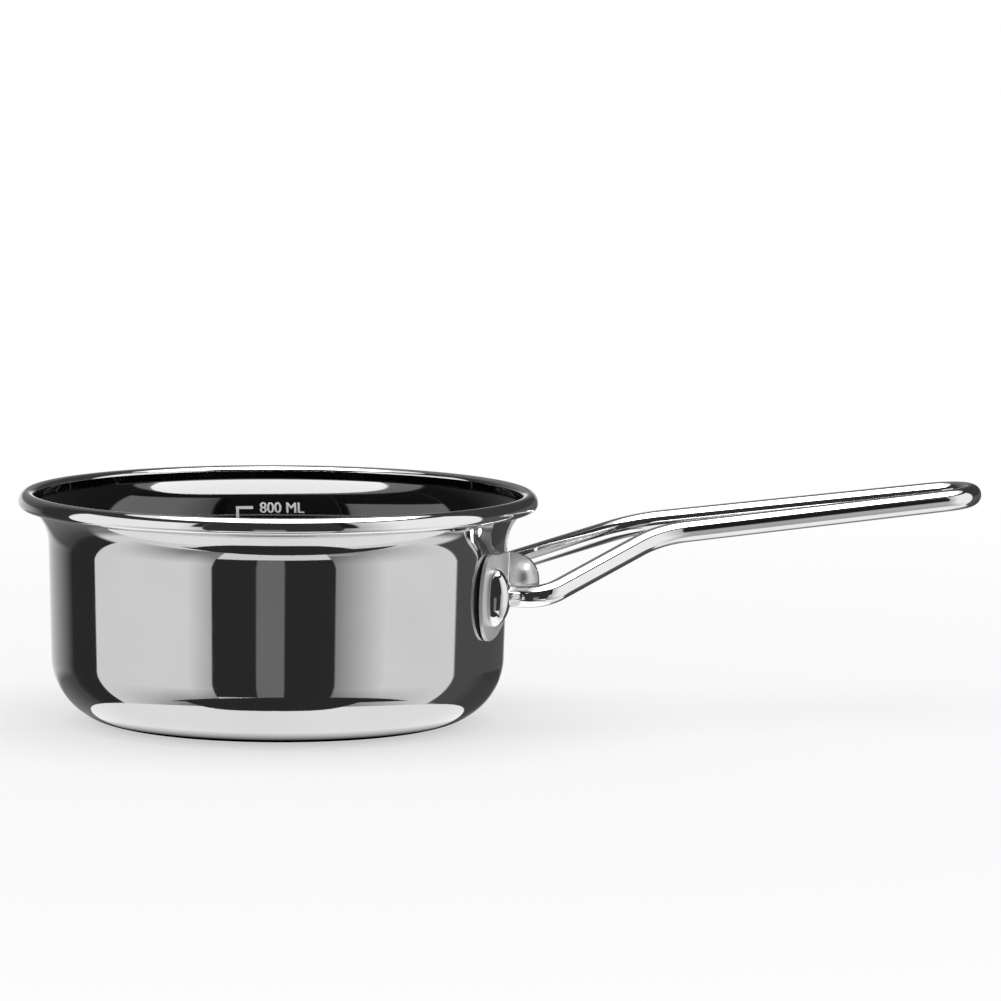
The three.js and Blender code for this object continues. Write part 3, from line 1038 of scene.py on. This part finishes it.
diffuser_material = plain_glow("overhead_diffuser", DIFFUSER_TONE)
diffuser = stage_object("overhead_diffuser", flat_sheet(diffuser_stops), diffuser_material)
diffuser_shift = right * DIFFUSER_SIDE + direction(CAMERA_AZIMUTH, 0) * DIFFUSER_FORWARD
diffuser.location = rim_centre + diffuser_shift + Vector((0, 0, LAMP_HEIGHT))
only_mirrored(diffuser)


# Wide pale floor for the eye, and the low shapes about the pan that only reflections see

FLOOR_RADIUS = 4
FLOOR_LEVEL = -0.0003
FLOOR_TONE = 0.9
FLOOR_NEAR_GLOW = 0.55
FLOOR_GLOW_START = 0.15
FLOOR_GLOW_END = 0.7
SHADE_LEVEL = FLOOR_LEVEL / 2
LOW_LEVEL = -0.053
BRIGHT_RADIUS = 0.125
BRIGHT_TONE = 1.2
LENS_RADIUS = 0.143
LENS_LIFT = 0.0005
LENS_INWARD = 0.033
LENS_OUTWARD = 0.04
LENS_FIRST = -48
LENS_LAST = 61
LENS_MIDDLE = -2.5
LENS_MIDDLE_HALF = 38
LENS_BLUNTNESS = 4
CONTACT_DARK = 0.055
CONTACT_CLEAR = 0.0605
HANDLE_SHADE_FIRST = 98
HANDLE_SHADE_LAST = 130
HANDLE_SHADE_INNER = 0.088
HANDLE_SHADE_OUTER = 0.142
HANDLE_SHADE_EDGE = 0.015
HANDLE_SHADE_FADE = 3


# The floor keeps some shadow near the pan and fades to the white room further out
def floor_material(name):
    material, tree = bare_material(name)
    lit = tree.nodes.new("ShaderNodeBsdfDiffuse")
    lit.inputs["Color"].default_value = grey(FLOOR_TONE)
    glow = tree.nodes.new("ShaderNodeEmission")
    place = tree.nodes.new("ShaderNodeTexCoord")
    away = tree.nodes.new("ShaderNodeVectorMath")
    away.operation = "LENGTH"
    white_share = tree.nodes.new("ShaderNodeMapRange")
    white_share.interpolation_type = "SMOOTHSTEP"
    white_share.inputs["From Min"].default_value = FLOOR_GLOW_START
    white_share.inputs["From Max"].default_value = FLOOR_GLOW_END
    white_share.inputs["To Min"].default_value = FLOOR_NEAR_GLOW
    tree.links.new(place.outputs["Object"], away.inputs[0])
    tree.links.new(away.outputs["Value"], white_share.inputs["Value"])
    seen = combined(tree, "MULTIPLY", white_share.outputs["Result"], seen_share(tree))
    show_mix(tree, seen, lit.outputs["BSDF"], glow.outputs["Emission"])
    return material


def lens_stops(share):
    off_middle = (LENS_FIRST + (LENS_LAST - LENS_FIRST) * share - LENS_MIDDLE) / LENS_MIDDLE_HALF
    inward = LENS_INWARD * max(0, 1 - off_middle ** LENS_BLUNTNESS)
    outward = LENS_OUTWARD * (1 - (2 * share - 1) ** 2)
    return (LENS_RADIUS - inward, 1), (LENS_RADIUS + outward, 1)


def contact_stops(share):
    return (0, 1), (CONTACT_DARK, 1), (CONTACT_CLEAR, 0)


def handle_shade_stops(share):
    dark = min(1, HANDLE_SHADE_FADE * math.sin(math.pi * share))
    inner, outer = HANDLE_SHADE_INNER, HANDLE_SHADE_OUTER
    return (inner, 0), (inner + HANDLE_SHADE_EDGE, dark), (outer - HANDLE_SHADE_EDGE, dark), (outer, 0)


wide_floor = stage_object("wide_floor", disc(FLOOR_RADIUS), floor_material("pale_floor"))
wide_floor.location.z = FLOOR_LEVEL
wide_floor.visible_glossy = False

bright_shape = disc(BRIGHT_RADIUS)
lens_shape = flat_sheet(lens_stops, LENS_FIRST, LENS_LAST)
contact_shape = flat_sheet(contact_stops)
handle_shape = flat_sheet(handle_shade_stops, HANDLE_SHADE_FIRST, HANDLE_SHADE_LAST)
low_shapes = (
    ("bright_patch", bright_shape, LOW_LEVEL, plain_glow("bright_patch", BRIGHT_TONE)),
    ("dark_lens", lens_shape, LOW_LEVEL + LENS_LIFT, card_material("dark_lens", DARK)),
    ("contact_shade", contact_shape, SHADE_LEVEL, card_material("contact_shade", BLACK)),
    ("handle_shade", handle_shape, SHADE_LEVEL, card_material("handle_shade", DUSK)),
)
for name, shape, level, material in low_shapes:
    piece = stage_object(name, shape, material)
    piece.location.z = level
    only_mirrored(piece)
